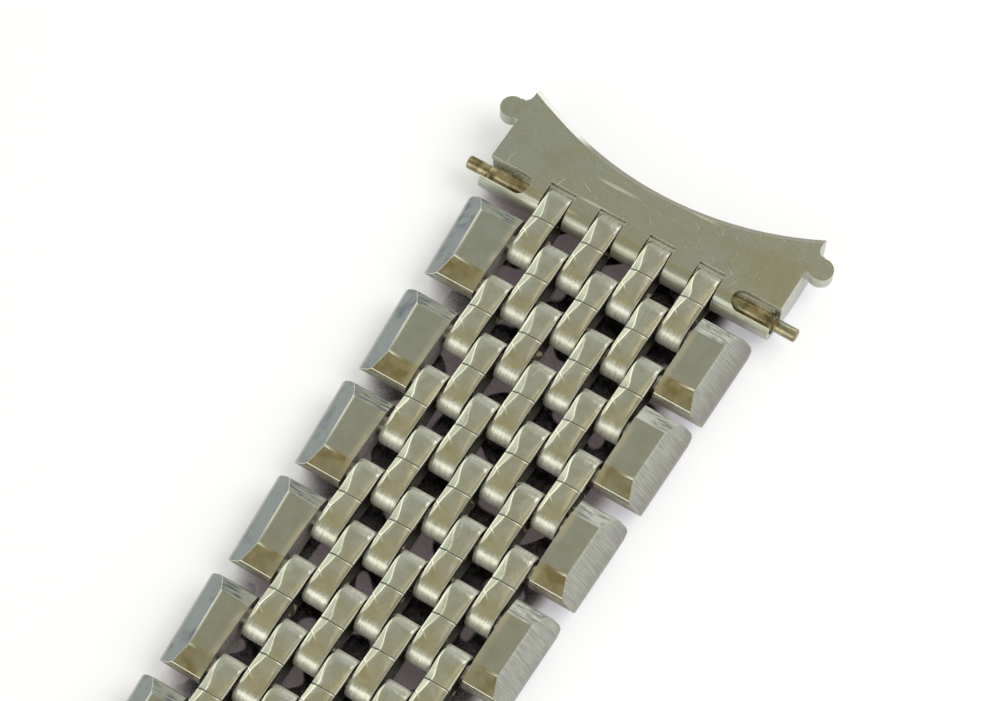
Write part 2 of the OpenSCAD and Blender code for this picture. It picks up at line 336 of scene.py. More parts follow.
def together(parts):
    """Several (points, faces, marks) sets as one set."""
    starts = np.cumsum([0] + [len(p[0]) for p in parts[:-1]])
    points = np.concatenate([p[0] for p in parts])
    faces = [[i + s for i in f] for p, s in zip(parts, starts) for f in p[1]]
    return points, faces, {m: np.concatenate([p[2][m] for p in parts]) for m in parts[0][2]}


def smooth(value, low, high):
    """0 below low, 1 above high and 3t^2 - 2t^3 between them."""
    t = np.clip((value - low) / (high - low), 0, 1)
    return t * t * (3 - 2 * t)


def crease_at(distance, crease):
    """How far across a crease is at this distance from the seam: it slants in a smooth step."""
    low, high, first, last = crease
    return first + (last - first) * smooth(distance, low, high)


def folded_strip(draw):
    """One link about its middle. The strip's section is carried round a stadium path from seam to
    seam: point = core point + outward normal x (half thickness - depth). Across the flat, depth
    rises from a crease to each edge. Along it, depth rises from a slanting line to the bend."""
    # The path as columns: y of the core, outward normal's y and z, and the angle turned.
    flat, turned_by = np.array(FLAT), np.radians(BEND)
    half = np.stack([flat, 0 * flat, 0 * flat + 1, 0 * flat], 1)
    core = np.full_like(turned_by, PITCH / 2)
    bend = np.stack([core, np.sin(turned_by), np.cos(turned_by), turned_by], 1)
    other_half = np.array([-1, -1, 1, 1])
    middle = np.array([[0, 0, -1, np.pi]])
    path = [half, bend, middle, bend[::-1] * other_half, half[::-1] * other_half]
    y, out_y, out_z, angle = np.concatenate(path).T
    left_fold, right_fold, sag = draw.uniform(0.75, 1.25, 6)[1:4]

    # The two creases and the lines of points beside them.
    away, far = np.abs(y), y > 0
    along = away / (PITCH / 2)
    edge = np.full_like(y, LINK_W / 2)
    left = np.where(far, crease_at(away, FAR_CREASE), crease_at(away, NEAR_CREASE))
    right = np.where(far, 0.34 + 0.16 * along, 0.30 + 0.20 * along)
    left, right = np.clip(left, 0.10 - edge, -0.2), np.clip(right, 0.2, edge - 0.11)
    middle_line = 0.5 * (left + right)
    lines = [0.05 - edge, left - 0.03, left + 0.04, middle_line, right - 0.06, right + 0.06]
    lines = np.stack([*lines, edge - 0.05], 1)

    # Depth under the highest surface, which fades out round the bend.
    kept = 0.2 + 0.8 * (1 - smooth(angle, 0.3, 1.5))
    steep_left = np.tan(np.radians(LEFT_SLOPE * left_fold ** 0.6)) * kept
    steep_right = np.tan(np.radians(RIGHT_SLOPE * right_fold)) * kept
    drop = steep_left[:, None] * np.maximum(left[:, None] - lines, 0)
    drop += steep_right[:, None] * np.maximum(lines - right[:, None], 0)
    begin = np.where(far, 1.25 + 0.1 * lines.T, 0.78 + 0.42 * (lines.T + 0.5)).T
    sink = smooth(away[:, None], begin, LOW_BEND_END)
    sink = np.where(far, FAR_SAG, NEAR_SAG * sag)[:, None] * sink
    drop += sink * (1 - smooth(angle, 0.1, 1.1))[:, None]

    # The section: outer face from left to right, then the inner face.
    first, last = drop[:, 0], drop[:, -1]
    inner = np.full_like(y, STRIP_T)
    x = [-edge, EDGE_ROUND - edge, *lines.T, edge - EDGE_ROUND, edge, edge, -edge]
    depth = [first + EDGE_DROP[0], first + EDGE_DROP[1], *drop.T]
    depth += [last + EDGE_DROP[2], last + EDGE_DROP[3], inner, inner]
    x, depth = np.stack(x, 1), np.stack(depth, 1)
    depth[[0, -1], 1:10] += SEAM_DROP
    out = HALF_T - depth
    shift = SEAM_OFF * (1 - smooth(away, 0.06, 0.68)) * (out_z > 0)
    points_y = (y + shift)[:, None] + out_y[:, None] * out
    points = np.stack([x, points_y, out_z[:, None] * out], -1)
    rings, around = x.shape
    ends = [list(range(around)), list(range((rings - 1) * around, rings * around))[::-1]]

    # What the material reads: painted shade on the side and inner faces and round under the bends,
    # with a dark seam, then satin and the link's own coordinates.
    bright_part = (np.abs(x) < LINK_W / 2 - 0.005) & (depth < 0.25)
    seam_soot = smooth(away, 0.08, 0.035) * (angle == 0)
    shade_and_dirt = np.where(bright_part, 0, 1.0) + 0.5 * (depth > 0.25) + 0.42 * seam_soot[:, None]
    near_satin = 0.45 * smooth(angle, 0.2, 0.5) + 0.55 * smooth(angle, 0.6, 1.1)
    low_bend = np.where(far, 0.72 * smooth(angle, 0.3, 0.8), near_satin)
    marks = {
        "shade_and_dirt": shade_and_dirt + 0.35 * smooth(angle, 1.4, 2.2)[:, None],
        "satin": low_bend[:, None] + 0 * x,
        "across": x,
        "along": (y + np.sign(y) * HALF_T * angle)[:, None] + 0 * x,
        "chance": draw.uniform(0, 50) + 0 * x,
    }
    marks = {label: values.reshape(-1) for label, values in marks.items()}
    return points.reshape(-1, 3), grid_faces(rings, around).tolist() + ends, marks


def stretched(place, scale, turn=0.0):
    """This place scaled along its axes and then turned about Z, by an angle in radians."""
    values = {"Vector": place, "Scale": scale, "Rotation": (0, 0, turn)}
    return place.add("ShaderNodeMapping", values=values)


def mark(start, name):
    """The value that the mesh carries under this name."""
    return start.add("ShaderNodeAttribute", {"attribute_name": name}, output="Fac")


def facing_axes(start):
    """X, Y and Z of the direction that the surface faces, as the piece lies at rest."""
    return start.add("ShaderNodeTexCoord", output="Normal").axes()


# Near-black colour of painted shade with soot, and the brass specks in it.
SHADE_AND_SOOT = (0.045, 0.038, 0.032, 1)
BRASS_SPECK = (0.50, 0.40, 0.24, 1)
SHADE_AND_SOOT_SHARE = 0.94
# How high the wavy surface and the fine grain stand, in metres.
SWELL_HEIGHT = 0.00006
GRAIN_HEIGHT = 0.00002


def steel(
    name, colour, dark, rough, brush=(1, 1, 1), grain=0.2, waves=0.5, scratches=0.3, mottle=0.5,
    roll=0.0, patch_tone=None, wear=None,
):
    """Worn stainless steel: mottled tone, fine brush lines along one axis, a wavy surface and a few
    thin scratches. Painted shade, with dirt and brass specks, darkens it where the mesh marks it.
    Satin roughens it, also where roll asks for it, on faces that look along the bracelet."""
    material = bpy.data.materials.new(name)
    start = start_nodes(material)
    place = start.add("ShaderNodeTexCoord", output="Object")
    blotches = noise(place, 1100.0, 3.0, 0.6)
    wide = noise(place, 420.0, 1.0)
    fine = noise(place, 5200.0, 2.0)
    lines = noise(stretched(place, brush), 2600.0, 2.0)
    web = {"Vector": place, "Scale": 310.0, "Randomness": 1.0}
    web = start.add("ShaderNodeTexVoronoi", {"feature": "DISTANCE_TO_EDGE"}, web)
    cuts = web.span(0.012, 0.0) * wide.span(0.52, 0.60)
    nicks = noise(place, 2300.0).span(0.70, 0.76)
    shade_and_dirt, satin = mark(start, "shade_and_dirt"), mark(start, "satin")
    if roll:
        facing_y = facing_axes(start)[1]
        satin = satin + abs(facing_y).span(0.45, 0.95) * roll
    shade = (blotches.span(0.35, 0.68) * mottle).tint(colour, dark)
    if patch_tone:
        shade = (wide.span(0.50, 0.66) * fine.span(0.3, 0.6)).tint(shade, patch_tone)
    height = lines * (satin * 1.4 + grain) + cuts * -scratches + nicks * (-0.5 * scratches)
    if wear:
        shade, height, satin = wear(start, place, shade, height, satin)
    # Painted shade: where the mesh marks it, the colour goes near black, with brass specks.
    dark_and_specks = noise(place, 1700.0, 1.0).span(0.62, 0.68).tint(SHADE_AND_SOOT, BRASS_SPECK)
    shaded_and_sooty = (shade_and_dirt.span(0.2, 0.9) * SHADE_AND_SOOT_SHARE).tint(shade, dark_and_specks)
    roughness = rough + fine.span(0.3, 0.8) * 0.06 + shade_and_dirt * 0.3 + satin * 0.30
    roughness = roughness + lines.span(0.4, 0.7) * satin * 0.08
    swell = {"Height": blotches + wide, "Strength": waves, "Distance": SWELL_HEIGHT}
    swell = start.add("ShaderNodeBump", values=swell)
    bump = {"Height": height, "Strength": 0.6, "Distance": GRAIN_HEIGHT, "Normal": swell}
    bump = start.add("ShaderNodeBump", values=bump)
    metal = {"Base Color": shaded_and_sooty, "Metallic": 1 - satin * 0.62, "Roughness": roughness}
    metal = start.add("ShaderNodeBsdfPrincipled", values=metal | {"Normal": bump})
    start.add("ShaderNodeOutputMaterial", values={"Surface": metal})
    return material


# Painted shade, reflections, highlights and sheen on the folded links.
LINK_BRANCH_SHADE = (0.55, 0.51, 0.38, 1)
LINK_WARM_REFLECTION = (0.78, 0.74, 0.54, 1)
LINK_PAINTED_SHADE = (0.36, 0.32, 0.24, 1)
LINK_STRIP_SHADE = (0.44, 0.46, 0.39, 1), (0.62, 0.62, 0.53, 1)
LINK_STRIP_DEEPER_SHADE = (0.42, 0.45, 0.38, 1)
LINK_PAINTED_HIGHLIGHT = (1.0, 0.99, 0.86, 1)
LINK_STREAK_SHEEN = (0.93, 0.93, 0.82, 1)
LINK_BEND_SHADE = (0.40, 0.40, 0.33, 1)


def link_marks_and_painted_light(start, place, shade, height, satin):
    """Marks of folding on one link, from its own coordinates in millimetres, with light and shade
    painted into its colour: a crease beside the left edge with painted shade on the strip beyond
    it, a second crease across the near half with painted warm shade below it, a painted warm
    reflection on the right, painted shade at the near half's right edge, painted highlights along
    the creases, outer edges and seam, and streaks round the lower bend with a painted sheen, in
    painted shade at its left end."""
    across, along, chance = mark(start, "across"), mark(start, "along"), mark(start, "chance")
    wobble = noise(place, 600.0, 1.0)
    other = chance.maths("FRACT", chance * 7.31)
    across = across + (wobble - 0.5) * 0.22 + (other - 0.5) * 0.10
    near = along.maths("LESS_THAN", along, 0.0)
    on_flat = abs(along).span(1.70, 1.35)

    far_line = along.span(*FAR_CREASE)
    near_line = (along * -1.0).span(*NEAR_CREASE)
    off = across - far_line - near * (near_line - far_line)
    line = abs(off).span(0.07, 0.01) * on_flat
    strip = off.span(0.02, -0.03) * on_flat
    shaded = near * across.span(0.56, 0.68) * on_flat
    edge = abs(across).span(0.62, 0.71) * on_flat * (1 - shaded * 0.85)
    branch_off = (across + 0.60) * 0.60 + (along + chance.span(0, 50, 0.75, 1.05)) * 0.80
    branch = abs(branch_off).span(0.06, 0.01) * across.span(-0.10, -0.45) * near * on_flat
    below = branch_off.span(0.06, -0.32) * near * on_flat
    seam_lip = along.span(-0.13, -0.06) * near * across.span(0.05, 0.5)

    # Painted warm shade below the crease across the near half.
    shade = (below * wobble.span(0.20, 0.70)).tint(shade, LINK_BRANCH_SHADE)
    # Painted warm reflection on the right part, stronger on some links.
    tan = across.span(0.30, 0.60) * on_flat * other.span(-0.4, 1.2) * 0.6
    shade = tan.tint(shade, LINK_WARM_REFLECTION)
    # Painted shade at the near half's right edge.
    shade = (shaded * 0.7).tint(shade, LINK_PAINTED_SHADE)
    # Painted shade on the strip beyond the left crease, deeper on the far half near the seam.
    shade = strip.tint(shade, other.tint(*LINK_STRIP_SHADE))
    shade = (strip * (1 - near) * along.span(0.65, 0.15)).tint(shade, LINK_STRIP_DEEPER_SHADE)
    # Painted highlights along the creases, the outer edges and the seam.
    bright_part = line + edge * 0.7 + branch + seam_lip * 0.8
    shade = bright_part.maths("MINIMUM", bright_part, 1.0).tint(shade, LINK_PAINTED_HIGHLIGHT)

    weave = start.add("ShaderNodeCombineXYZ", values={0: across * 9.0, 1: along, 2: chance})
    streaks = noise(weave, 1.0, 2.0)
    satin = satin * (satin + (streaks - 0.5) * 0.8).span(0.12, 0.6)
    # A painted sheen along the streaks round the bends, and painted shade at their left end.
    streaked = satin * streaks.span(0.36, 0.60, 0.3, 0.9) * (near * 0.6 + 0.4)
    shade = streaked.tint(shade, LINK_STREAK_SHEEN)
    shade = (satin * across.span(-0.30, -0.66) * 0.6).tint(shade, LINK_BEND_SHADE)
    height = height + branch * 0.8 + line * 0.6 + seam_lip * 0.3
    height = height + streaks * satin * (near * 1.4 + 0.6)
    return shade, height, satin


link_steel = steel(
    "link_steel", colour=(0.66, 0.665, 0.60, 1), dark=(0.58, 0.57, 0.46, 1), rough=0.15,
    brush=(5, 0.5, 0.5), grain=0.12, mottle=0.9, wear=link_marks_and_painted_light,
)
rolls = np.random.RandomState(7)
# How far a link may be turned about X, Z and Y, and lifted.
ASKEW = (0.8, 0.4, 1.2)
UNEVEN = 0.015


def row_of_links(side, row):
    """The folded links of one row. Each sits a little askew on its pins, as their play lets it: its
    points are turned about X, Y and Z, and then moved to its place in the row."""
    parts = []
    for column in (-3, -1, 1, 3) if row % 2 else (-2, 0, 2):
        points, faces, marks = folded_strip(rolls)
        angles = np.radians(rolls.uniform(-1, 1, 3) * ASKEW)
        (cos_x, cos_z, cos_y), (sin_x, sin_z, sin_y) = np.cos(angles), np.sin(angles)
        lift = rolls.uniform(-UNEVEN, UNEVEN)
        about_x = np.array([[1, 0, 0], [0, cos_x, -sin_x], [0, sin_x, cos_x]])
        about_y = np.array([[cos_y, 0, sin_y], [0, 1, 0], [-sin_y, 0, cos_y]])
        about_z = np.array([[cos_z, -sin_z, 0], [sin_z, cos_z, 0], [0, 0, 1]])
        points = points @ (about_z @ about_y @ about_x).T
        middle = (column * COLUMN, BAR_Y - (row - 0.5) * PITCH, MID_Z + lift)
        parts.append((points + middle, faces, marks))
    points, faces, marks = together(parts)
    node = f"{side}_row_{row:02d}"
    mesh = mesh_from(f"{node}_links", points * (1, HALVES[side], 1), faces, marks)
    put(f"{node}_links", mesh, link_steel, node)


for row in range(1, ROWS + 1):
    row_of_links("north", row)
for row in range(ROWS, 0, -1):
    row_of_links("south", row)

# Side links
# Solid steel blocks at both ends of every second row, milled with a wide bevel along the bracelet's
# edge and a facet across each end. Below the facets the ends are rolled round the pins.

SIDE_X = 5.6
BEVEL_W = 1.26
BEVEL_D = 1.06
HALF_END = 8.75
HALF_STEP = 0.14
HALF_CLASP = 7.65
FACET_FOOT = 0.57
# Heights down the block above the roll, and how far its near and far ends reach there.
BLOCK_UP = (HALF_T, FACET_FOOT, 0.35, 0.0)
BLOCK_NEAR = (1.36, 2.44, 2.55, 2.55)
BLOCK_FAR = (1.75, 2.44, 2.55, 2.55)
ROLL_STEPS = (14, 29, 43, 56, 67, 78, 90)
UNDER_ROUND = 0.3
# Wider by, slant in degrees, bevel narrower by, near end further by, far end further by. The
# photographed half has worn out of true on its left, -1, and right, 1.
NEW_SHAPE = (0, 2.5, 0, 0.15, 0.20)
WORN_NORTH = {-1: (0.16, 4.4, 0.02, 0.15, 0.15), 1: (-0.14, 0.8, 0.12, 0.0, 0.35)}
# How far along some of them sit out of place, by half, row and hand.
SHIFTED = {
    ("north", 2, -1): 0.30, ("north", 2, 1): 0.05, ("north", 4, 1): 0.35, ("north", 6, 1): 0.30,
    ("north", 8, 1): 0.25,
}
EDGE_WEAR = 0.05
EDGE_ANGLE = 20


def half_width(row):
    """Half the bracelet's width at this row, which narrows from the end piece to the clasp."""
    return max(HALF_CLASP, HALF_END - HALF_STEP * (row / 2 - 1))


def side_block(row, wider, slant, flatter, nearer, farther):
    """Stack of four-sided slices from the flat top down. At each height the two ends follow the
    facets and then the round of the roll, and the outer side follows the bevel, which is one plane:
    inset = bevel width x (height - bevel foot) / bevel depth. Below the flat both ends reach on by
    nearer and farther, which fade out towards the underside."""
    round_down = np.radians(ROLL_STEPS)
    up = np.concatenate([BLOCK_UP, -HALF_T * np.sin(round_down)])
    round_reach = PITCH / 2 + HALF_T * np.cos(round_down)
    reach_on = np.interp(up, [-HALF_T, 0.0, FACET_FOOT, HALF_T], [0.2, 1, 1, 0])
    low = -np.concatenate([BLOCK_NEAR, round_reach]) - nearer * reach_on
    high = np.concatenate([BLOCK_FAR, round_reach]) + farther * reach_on
    heights = [-HALF_T, UNDER_ROUND - HALF_T, HALF_T - BEVEL_D, HALF_T]
    inset = np.interp(up, heights, [UNDER_ROUND, 0, 0, BEVEL_W - flatter])
    lean = math.tan(math.radians(slant))
    edge = half_width(row) + wider - inset
    inner = np.full_like(up, SIDE_X)
    x = np.stack([inner, edge + lean * low, edge + lean * high, inner], 1)
    y = np.stack([low, low, high, high], 1)
    points = np.stack([x, y, np.repeat(up[:, None], 4, 1)], -1).reshape(-1, 3)
    ends = [[0, 1, 2, 3], [len(points) - 1 - i for i in range(4)]]
    rim = inset[0] - inset
    rim = np.stack([rim + 3, rim, rim, rim + 3], 1).reshape(-1)
    marks = {"across": points[:, 0] - SIDE_X, "along": points[:, 1], "rim": rim}
    return points, grid_faces(len(up), 4).tolist() + ends, marks


# Painted reflections, shade and highlights on the side links, and their tool marks.
LEFT_BEVEL_REFLECTION = (0.34, 0.375, 0.37, 1), (0.20, 0.225, 0.25, 1)
RIGHT_BEVEL_BRUSH_SHADE = (0.36, 0.36, 0.34, 1)
RIGHT_BEVEL_OUTER_SHADE = (0.27, 0.245, 0.225, 1)
NEAR_FACET_REFLECTION = (0.50, 0.46, 0.33, 1), (0.36, 0.31, 0.18, 1)
FAR_FACET_HIGHLIGHT = (0.80, 0.81, 0.77, 1)
TOOL_MARKS_SHADE_AND_LIGHT = (0.15, 0.165, 0.17, 1), (0.34, 0.33, 0.30, 1)
INNER_EDGE = (0.84, 0.77, 0.64, 1)
SIDE_PAINTED_HIGHLIGHT = (1.0, 0.99, 0.92, 1)


def side_marks_and_painted_light(start, place, shade, height, satin):
    """Marks and painted light on a side link: tool marks across the far facet, painted darker on
    the left than on the right, where the facet also gets a painted highlight; a crease with a
    painted highlight where the near facet begins and a mottled painted brown reflection on that
    facet; a browned inner edge; a painted blue-grey reflection on the left bevel; brush lines
    across the right bevel in painted shade that deepens outwards; and a painted highlight on the
    left rim."""
    across, along = mark(start, "across"), mark(start, "along")
    facing_x = facing_axes(start)[0]
    hand = place.axes()[0].span(-0.001, 0.001)
    left, right = facing_x.span(-0.30, -0.50), facing_x.span(0.30, 0.50)
    flat = 1.0 - (left + right)
    wobble = noise(place, 500.0, 2.0)
    spots = noise(place, 1500.0, 2.0)
    rub = noise(stretched(place, (1.0, 14.0, 1.0)), 900.0, 2.0)
    far = along.span(1.72, 1.80) * flat * hand
    tool = along.span(1.65, 2.0) * rub.span(0.46, 0.56) * wobble.span(0.34, 0.52) * flat
    near = along.span(-1.30, -1.42) * flat
    crease_off = along + 1.37 + (across - 1.6) * -0.10
    crease = abs(crease_off).span(0.09, 0.02) * across.span(0.6, 1.7) * flat
    inner = across.span(0.45, 0.12) * flat * wobble.span(0.3, 0.6)
    rim = mark(start, "rim").span(0.16, 0.02) * along.span(-2.2, 0.3)
    rim_highlight = rim * (1 - hand * 0.85)

    # Painted blue-grey reflection on the left bevel.
    mottled = (wobble.span(0.48, 0.66) * spots.span(0.4, 0.6)).tint(*LEFT_BEVEL_REFLECTION)
    shade = left.tint(shade, mottled)
    # Brush lines across the right bevel, painted darker as shade, deeper outwards.
    shade = (right * rub.span(0.35, 0.65)).tint(shade, RIGHT_BEVEL_BRUSH_SHADE)
    shade = (right * across.span(2.1, 3.1) * 0.75).tint(shade, RIGHT_BEVEL_OUTER_SHADE)
    # Mottled painted brown reflection on the near facet.
    patch_tone = spots.span(0.35, 0.62).tint(*NEAR_FACET_REFLECTION)
    shade = (near * wobble.span(0.25, 0.60)).tint(shade, patch_tone)
    shade = (inner * 0.6).tint(shade, INNER_EDGE)
    # Painted highlight on the far facet on the right, and tool marks painted darker on the left
    # than on the right.
    shade = (far * spots.span(0.3, 0.5)).tint(shade, FAR_FACET_HIGHLIGHT)
    shade = (tool * 0.9).tint(shade, hand.tint(*TOOL_MARKS_SHADE_AND_LIGHT))
    # Painted highlight along the crease and the left rim.
    shade = crease.most(rim_highlight).tint(shade, SIDE_PAINTED_HIGHLIGHT)
    height = height + crease * 1.5 + rub * (right * 3.0 + left * 0.6 + 0.3)
    return shade, height, satin + right * 0.35 + rim_highlight * left * 0.9


side_steel = steel(
    "side_link_steel", colour=(0.51, 0.525, 0.47, 1), dark=(0.44, 0.445, 0.375, 1), rough=0.20,
    brush=(0.7, 6, 1), grain=0.35, waves=0.3, roll=0.45, wear=side_marks_and_painted_light,
)
EDGE_PAINTED_SHADE = (0.46, 0.44, 0.36, 1)


def edge_shade_by_facing(start, place, shade, height, satin):
    """Worn edges carry a painted highlight, painted duller and browner as shade where they face
    right or the far end.
    """
    facing_x, facing_y, _ = facing_axes(start)
    dull = facing_x.span(0.08, 0.28).most(facing_y.span(0.15, 0.35))
    return (dull * 0.9).tint(shade, EDGE_PAINTED_SHADE), height, satin


# Worn, polished edges, painted near white as a highlight.
worn_edge_highlight_steel = steel(
    "worn_edge_highlight_steel", colour=(1.0, 0.99, 0.90, 1), dark=(0.88, 0.87, 0.76, 1), rough=0.22,
    waves=0.2, wear=edge_shade_by_facing,
)


def wear_edges(thing, width, segments, angle):
    """Rounds this piece's edges with a Bevel modifier, whose faces show the worn steel with its
    painted highlight.
    """
    thing.data.materials.append(worn_edge_highlight_steel)
    rounding = thing.modifiers.new("worn_edges", "BEVEL")
    rounding.material = 1
    rounding.width = width * MM
    rounding.segments = segments
    rounding.limit_method = "ANGLE"
    rounding.angle_limit = math.radians(angle)
    rounding.harden_normals = True


for side, sign in HALVES.items():
    for row in range(2, ROWS, 2):
        node = f"{side}_row_{row:02d}"
        for hand, word in ((-1, "left"), (1, "right")):
            shape = WORN_NORTH[hand] if side == "north" else NEW_SHAPE
            points, faces, marks = side_block(row, *shape)
            y = BAR_Y - (row - 0.5) * PITCH + SHIFTED.get((side, row, hand), 0)
            points = (points + (0, y, MID_Z)) * (hand, sign, 1)
            mesh = mesh_from(f"{node}_side_{word}", points, faces, marks, sharp=30)
            made = put(f"{node}_side_{word}", mesh, side_steel, node)
            wear_edges(made, EDGE_WEAR, 3, EDGE_ANGLE)

# Link pins
# Plain steel wire, cut to length and pressed into the side links, two to a row.
# The small folded links of that row and of the next ones turn on them.

PIN_R = 0.58
PIN_SHORTER = 1.1


def turned(profile, steps=24):
    """A shape turned about the X axis from a profile of (x, radius), with a flat at both ends:
    point = (x, radius x cos a, radius x sin a)."""
    angle = np.linspace(0, 2 * np.pi, steps, endpoint=False)
    x, r = np.asarray(profile, float).T
    rings = [np.tile(x[:, None], steps), r[:, None] * np.cos(angle), r[:, None] * np.sin(angle)]
    points = np.stack(rings, -1).reshape(-1, 3)
    ends = [list(range(steps)), list(range(len(points) - steps, len(points)))[::-1]]
    return points, grid_faces(len(x), steps).tolist() + ends, {}


pin_steel = steel(
    "pin_steel", colour=(0.50, 0.46, 0.40, 1), dark=(0.30, 0.26, 0.22, 1), rough=0.30, mottle=0.9
)

for side, sign in HALVES.items():
    for row in range(2, ROWS, 2):
        node = f"{side}_row_{row:02d}"
        reach = half_width(row) - PIN_SHORTER
        pins = []
        for row_end in (row - 1, row):
            points, faces, marks = turned([(-reach, PIN_R), (reach, PIN_R)])
            points = (points + (0, BAR_Y - row_end * PITCH, MID_Z)) * (1, sign, 1)
            pins.append((points, faces, marks))
        points, faces, _ = together(pins)
        mesh = mesh_from(f"{node}_pins", points, faces)
        put(f"{node}_pins", mesh, pin_steel, node)

# End pieces
# Pressed and rolled sheet that fills the gap to the watch case. Its knuckles and the two long side
# rolls hold the spring bar. The photographed one is spread a little wider at its left end.

LEFT_SPREAD = 0.19
SPREAD_FROM, SPREAD_TO = 7.4, 8.9
PLATE_WEAR = 0.04
FLAT_ANGLE = 0.6
# Points closer than this are merged, in metres.
DOUBLES = 2e-7
# Turn in radians, cells to the metre and width of the three sets of scratches.
SCRATCHES = ((1.25, 330.0, 0.05), (-0.5, 260.0, 0.04), (2.1, 410.0, 0.05))
PLATE_BLUER = (0.52, 0.545, 0.49, 1)
PLATE_BROWNER = (0.49, 0.46, 0.31, 1)
PLATE_SCRATCH = (0.92, 0.92, 0.82, 1)
PLATE_EDGE_SHADE = (0.26, 0.24, 0.18, 1)
PLATE_PAINTED_HIGHLIGHT = (0.84, 0.86, 0.83, 1)
PLATE_STREAK = (0.36, 0.36, 0.29, 1)


def plate_marks_and_painted_light(start, place, shade, height, satin):
    """Marks on an end piece: broad patches that are bluer or browner, long thin scratches in three
    directions and streaked rolls, with a painted highlight on the left arc, a painted reflection on
    the end walls and painted shade on the edge at the case."""
    bluer = noise(place, 240.0, 2.0)
    browner = {"Vector": place, "Scale": 310.0, "Detail": 3.0, "W": 3.0}
    browner = start.add("ShaderNodeTexNoise", {"noise_dimensions": "4D"}, browner)
    shade = (bluer.span(0.45, 0.62) * 0.8).tint(shade, PLATE_BLUER)
    shade = (browner.span(0.52, 0.66) * 0.7).tint(shade, PLATE_BROWNER)
    for turn, scale, width in SCRATCHES:
        cells = {"Vector": stretched(place, (0.09, 1, 1), turn), "Scale": scale, "Randomness": 1.0}
        cells = start.add("ShaderNodeTexVoronoi", {"voronoi_dimensions": "2D"}, cells)
        cut = cells.span(width, width * 0.3)
        shade = (cut * 0.8).tint(shade, PLATE_SCRATCH)
        height = height - cut * 1.2
    _, facing_y, facing_z = facing_axes(start)
    place_x = place.axes()[0]
    arc = facing_z.span(0.85, 0.75) * facing_z.span(0.3, 0.5)
    arc = arc * facing_y.span(0.2, 0.4) * place_x.span(-0.0045, -0.0060)
    wall = abs(facing_z).span(0.5, 0.2) * abs(place_x).span(0.0072, 0.0080)
    # Painted shade on the edge at the case, right of the arc.
    case_edge_shade = facing_z.span(0.93, 0.80) * facing_y.span(0.2, 0.4) * (1 - arc)
    shade = (case_edge_shade * 0.8).tint(shade, PLATE_EDGE_SHADE)
    # Painted highlight on the left arc and painted reflection on the end walls.
    painted_bright = arc.most(wall * 0.45)
    shade = painted_bright.tint(shade, PLATE_PAINTED_HIGHLIGHT)
    satin = satin.most(painted_bright)
    streaks = noise(stretched(place, (0.25, 9.0, 9.0)), 700.0, 2.0)
    streaked = satin * streaks.span(0.45, 0.60) * (1.0 - painted_bright) * 0.8
    return streaked.tint(shade, PLATE_STREAK), height + streaks * satin * 4.0, satin


end_steel = steel(
    "end_piece_steel", colour=(0.54, 0.535, 0.435, 1), dark=(0.45, 0.445, 0.35, 1), rough=0.23,
    brush=(3, 1, 1), grain=0.02, waves=0.06, scratches=0.6, mottle=0.2, roll=0.7, wear=plate_marks_and_painted_light,
)


def dressed_copy(node, name, material, wear, sharp=25, spread=0.0):
    """Copy of a CAD node's mesh with its doubles merged, its flat faces whole and its edges worn
    round. Spread moves the points at its left end out: x = x - spread x smooth step of -x."""
    shape = bmesh.new()
    shape.from_mesh(frame["nodes"][node].data)
    bmesh.ops.remove_doubles(shape, verts=shape.verts[:], dist=DOUBLES)
    flat = math.radians(FLAT_ANGLE)
    bmesh.ops.dissolve_limit(shape, angle_limit=flat, verts=shape.verts[:], edges=shape.edges[:])
    mesh = bpy.data.meshes.new(name)
    shape.to_mesh(mesh)
    shape.free()
    places = np.empty(len(mesh.vertices) * 3, np.float32)
    mesh.vertices.foreach_get("co", places)
    x = places[0::3] / MM
    places[0::3] = (x - spread * smooth(-x, SPREAD_FROM, SPREAD_TO)) * MM
    mesh.vertices.foreach_set("co", places)
    mesh.update()
    mesh.shade_smooth()
    mesh.set_sharp_from_angle(angle=math.radians(sharp))
    wear_edges(put(name, mesh, material, node), wear, 2, sharp)


for side, spread in (("north", LEFT_SPREAD), ("south", 0)):
    node, name = f"{side}_end_piece", f"{side}_end_plate"
    dressed_copy(node, name, end_steel, PLATE_WEAR, spread=spread)

# Spring bars
# Steel tube with drawn-in ends and two sliding tips, pushed apart by a coil spring inside. Years of
# wear have turned them brassy, and green corrosion sits where the tube is open to the wrist.

TIP_R = 0.38
SPRING_R = 0.37
WIRE_R = 0.07
# Half the tube's length, how far the tips reach past it and its place along the bracelet.
BARS = {
    "north_bar": (8.9, 1.4, BAR_Y),
    "south_bar": (8.9, 1.4, -BAR_Y),
    "clasp_bar": (7.7, 0.6, 15.9),
}
# Length and turns of half a spring, and how far the tip beside it slides in.
SPRINGS = {"north_bar": (7.85, 7, 1.2), "south_bar": (7.85, 7, 1.2), "clasp_bar": (6.65, 6, 0.6)}
# Profiles of (x, radius). In the first two x is counted from the tube's end, and in the last one
# from the tip's point.
TUBE = (
    (-0.02, TIP_R + 0.03), (0, TIP_R + 0.05), (-0.01, 0.44), (-0.08, 0.475), (-0.3, 0.54),
    (-0.45, 0.575), (-0.6, PIN_R),
)
TIP_INSIDE = ((-0.98, 0.30), (-0.95, 0.40), (-0.66, 0.44), (-0.64, 0.345), (0, 0.375))
TIP_POINT = ((-0.10, TIP_R), (-0.04, TIP_R - 0.03), (0, TIP_R - 0.09))

bar_steel = steel(
    "bar_steel", colour=(0.50, 0.43, 0.27, 1), dark=(0.17, 0.13, 0.06, 1), rough=0.25,
    brush=(0.4, 5, 5), grain=0.6, mottle=1.0, patch_tone=(0.33, 0.40, 0.30, 1),
)
spring_steel = steel(
    "spring_steel", colour=(0.56, 0.55, 0.50, 1), dark=(0.40, 0.38, 0.33, 1), rough=0.2,
    brush=(4, 1, 1),
)


